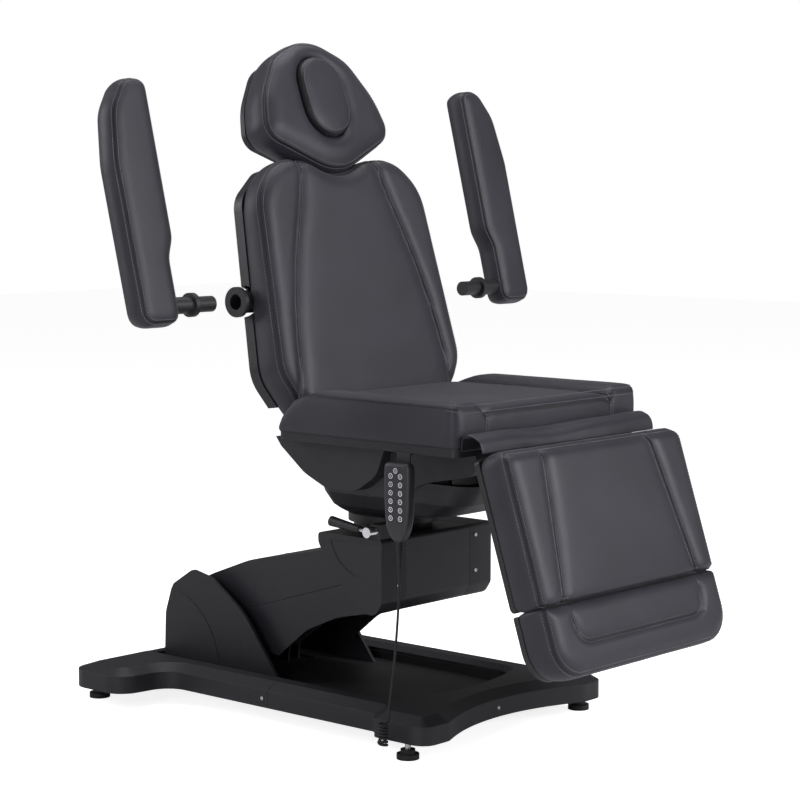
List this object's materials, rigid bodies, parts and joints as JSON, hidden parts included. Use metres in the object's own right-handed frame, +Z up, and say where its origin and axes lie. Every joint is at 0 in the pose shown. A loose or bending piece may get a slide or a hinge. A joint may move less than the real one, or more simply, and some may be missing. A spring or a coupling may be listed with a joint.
{
  "type": "tattoo_chair",
  "caption": "Powered treatment chair on a lift arm: swivelling, tilting seat, reclining back, headrest with face plug, leg rest, sliding footrest, plug-in armrests, corded hand control",
  "frame": {"origin": "on the floor, at the middle of the footprint of the whole chair with its armrests drawn out", "axes": "+Z up; the sitter faces -Y; +X is the sitter's left"},
  "size_m": [1.2458, 1.2902, 1.4503],
  "materials": {
    "upholstery": "black leatherette with a fine grain and a soft sheen",
    "housing_plastic": "dark slate moulded cover, fine grain",
    "arm_plastic": "satin slate cover",
    "tray_plastic": "dark moulded liner",
    "frame_paint": "black powder coat",
    "bright_steel": "bright zinc-plated steel",
    "chrome": "polished chrome",
    "rubber": "black rubber",
    "board": "plywood, wrapped in dark leather at its edge",
    "shell_plastic": "black moulded shell",
    "handset_plastic": "dark grey satin case",
    "keypad_film": "printed membrane with pale key rings",
    "cord_jacket": "black cord jacket",
    "motor_case": "cast aluminium"
  },
  "bodies": {
    "base": {"base_chassis": "frame_paint", "base_cover_rear": "housing_plastic", "base_cover_front": "housing_plastic", "floor_tray": "tray_plastic", "tower_shroud": "housing_plastic", "levelling_pads": "rubber", "levelling_studs": "bright_steel", "base_screws": "bright_steel", "lower_pivot_shafts": "bright_steel", "control_box": "shell_plastic", "handset_cord": "cord_jacket", "cord_curls": "cord_jacket", "cord_tail": "cord_jacket"},
    "lift_tube": {"lift_motor": "motor_case"},
    "lift_ram": {"lift_rod": "chrome"},
    "arm": {"lift_arm": "frame_paint", "arm_cover_upper": "arm_plastic", "arm_cover_lower": "arm_plastic"},
    "link": {"parallel_link": "frame_paint"},
    "head": {"head_frame": "frame_paint", "head_cover": "arm_plastic", "head_cap_right": "housing_plastic", "head_cap_left": "housing_plastic", "head_screws": "bright_steel", "upper_pivot_shafts": "bright_steel", "turntable_base": "frame_paint"},
    "lock_lever": {"lock_stem": "chrome", "lock_grip": "shell_plastic"},
    "turntable": {"turntable_top": "frame_paint", "tilt_cradle": "frame_paint", "tilt_bowl": "housing_plastic", "tilt_shaft": "bright_steel", "turntable_bolts": "bright_steel"},
    "seat": {"seat_frame": "frame_paint", "seat_hinge_shafts": "bright_steel", "seat_skirt": "housing_plastic", "seat_board": "board", "seat_cushion": "upholstery", "seat_apron": "upholstery", "handset_hook": "frame_paint"},
    "back": {"back_frame": "frame_paint", "back_shell": "shell_plastic", "back_cushion": "upholstery", "arm_sockets": "shell_plastic"},
    "headrest": {"headrest_bar": "chrome", "headrest_pan": "board", "headrest_cushion": "upholstery"},
    "face_plug": {"headrest_plug": "upholstery"},
    "pin_right": {"arm_pin_right": "shell_plastic"},
    "pad_right": {"arm_pad_right": "upholstery"},
    "pin_left": {"arm_pin_left": "shell_plastic"},
    "pad_left": {"arm_pad_left": "upholstery"},
    "legrest": {"legrest_pan": "frame_paint", "legrest_cushion": "upholstery"},
    "footrest": {"footrest_pan": "frame_paint", "footrest_cushion": "upholstery", "footrest_buffers": "rubber"},
    "handset": {"handset_shell": "handset_plastic", "handset_keypad": "keypad_film", "cord_strain_relief": "cord_jacket"}
  },
  "joints": [
    {"name": "lift", "type": "hinge", "parent": "base", "child": "arm", "pos_m": [-0.029, 0.47508, 0.205], "axis": [-1, 0, 0], "range_deg": [-13, 25], "deforming": ["handset_cord", "cord_curls"]},
    {"name": "link_swing", "type": "hinge", "parent": "base", "child": "link", "pos_m": [-0.029, 0.47508, 0.135], "axis": [-1, 0, 0], "range_deg": [-13, 25]},
    {"name": "head_level", "type": "hinge", "parent": "arm", "child": "head", "pos_m": [-0.029, 0.01008, 0.352], "axis": [-1, 0, 0], "range_deg": [-25, 13]},
    {"name": "ram_swing", "type": "hinge", "parent": "base", "child": "lift_tube", "pos_m": [0.035, 0.40708, 0.098], "axis": [-1, 0, 0], "range_deg": [-11.96, 23]},
    {"name": "ram_stroke", "type": "slide", "parent": "lift_tube", "child": "lift_ram", "axis": [0, -0.8166, 0.5772], "range_m": [-0.0285, 0.0545]},
    {"name": "swivel", "type": "hinge", "parent": "head", "child": "turntable", "pos_m": [-0.029, 0.03508, 0.43], "axis": [0, 0, 1], "range_deg": [-90, 90]},
    {"name": "swivel_lock", "type": "hinge", "parent": "head", "child": "lock_lever", "pos_m": [-0.225, -0.07292, 0.428], "axis": [1, 0, 0], "range_deg": [-50, 10]},
    {"name": "seat_tilt", "type": "hinge", "parent": "turntable", "child": "seat", "pos_m": [-0.029, -0.02492, 0.57], "axis": [-1, 0, 0], "range_deg": [-5, 12]},
    {"name": "back_recline", "type": "hinge", "parent": "seat", "child": "back", "pos_m": [-0.029, 0.12508, 0.64], "axis": [-1, 0, 0], "range_deg": [0, 76]},
    {"name": "leg_raise", "type": "hinge", "parent": "seat", "child": "legrest", "pos_m": [-0.029, -0.41192, 0.604], "axis": [-1, 0, 0], "range_deg": [-8, 71.7], "deforming": ["seat_apron"]},
    {"name": "footrest_slide", "type": "slide", "parent": "legrest", "child": "footrest", "axis": [0, -0.314, -0.9494], "range_m": [0, 0.15]},
    {"name": "headrest_slide", "type": "slide", "parent": "back", "child": "headrest", "axis": [0, 0.2419, 0.9703], "range_m": [0, 0.08]},
    {"name": "plug_pull", "type": "slide", "parent": "headrest", "child": "face_plug", "axis": [0, -0.9397, 0.342], "range_m": [0, 0.1]},
    {"name": "arm_slide_right", "type": "slide", "parent": "back", "child": "pin_right", "axis": [1, 0, 0], "range_m": [0, 0.1215]},
    {"name": "arm_swing_right", "type": "hinge", "parent": "pin_right", "child": "pad_right", "pos_m": [-0.506, 0.20495, 0.89835], "axis": [1, 0, 0], "range_deg": [0, 104]},
    {"name": "arm_slide_left", "type": "slide", "parent": "back", "child": "pin_left", "axis": [-1, 0, 0], "range_m": [0, 0.1795]},
    {"name": "arm_swing_left", "type": "hinge", "parent": "pin_left", "child": "pad_left", "pos_m": [0.506, 0.20495, 0.89835], "axis": [1, 0, 0], "range_deg": [0, 104]},
    {"name": "handset_lift", "type": "slide", "parent": "seat", "child": "handset", "axis": [0, 0, 1], "range_m": [0, 0.035]}
  ],
  "couplings": [
    {"joint": "link_swing", "follows": "lift", "ratio": 1},
    {"joint": "head_level", "follows": "lift", "ratio": -1},
    {"joint": "ram_swing", "follows": "lift", "ratio": 0.92},
    {"joint": "ram_stroke", "follows": "lift", "m_per_rad": 0.123}
  ]
}
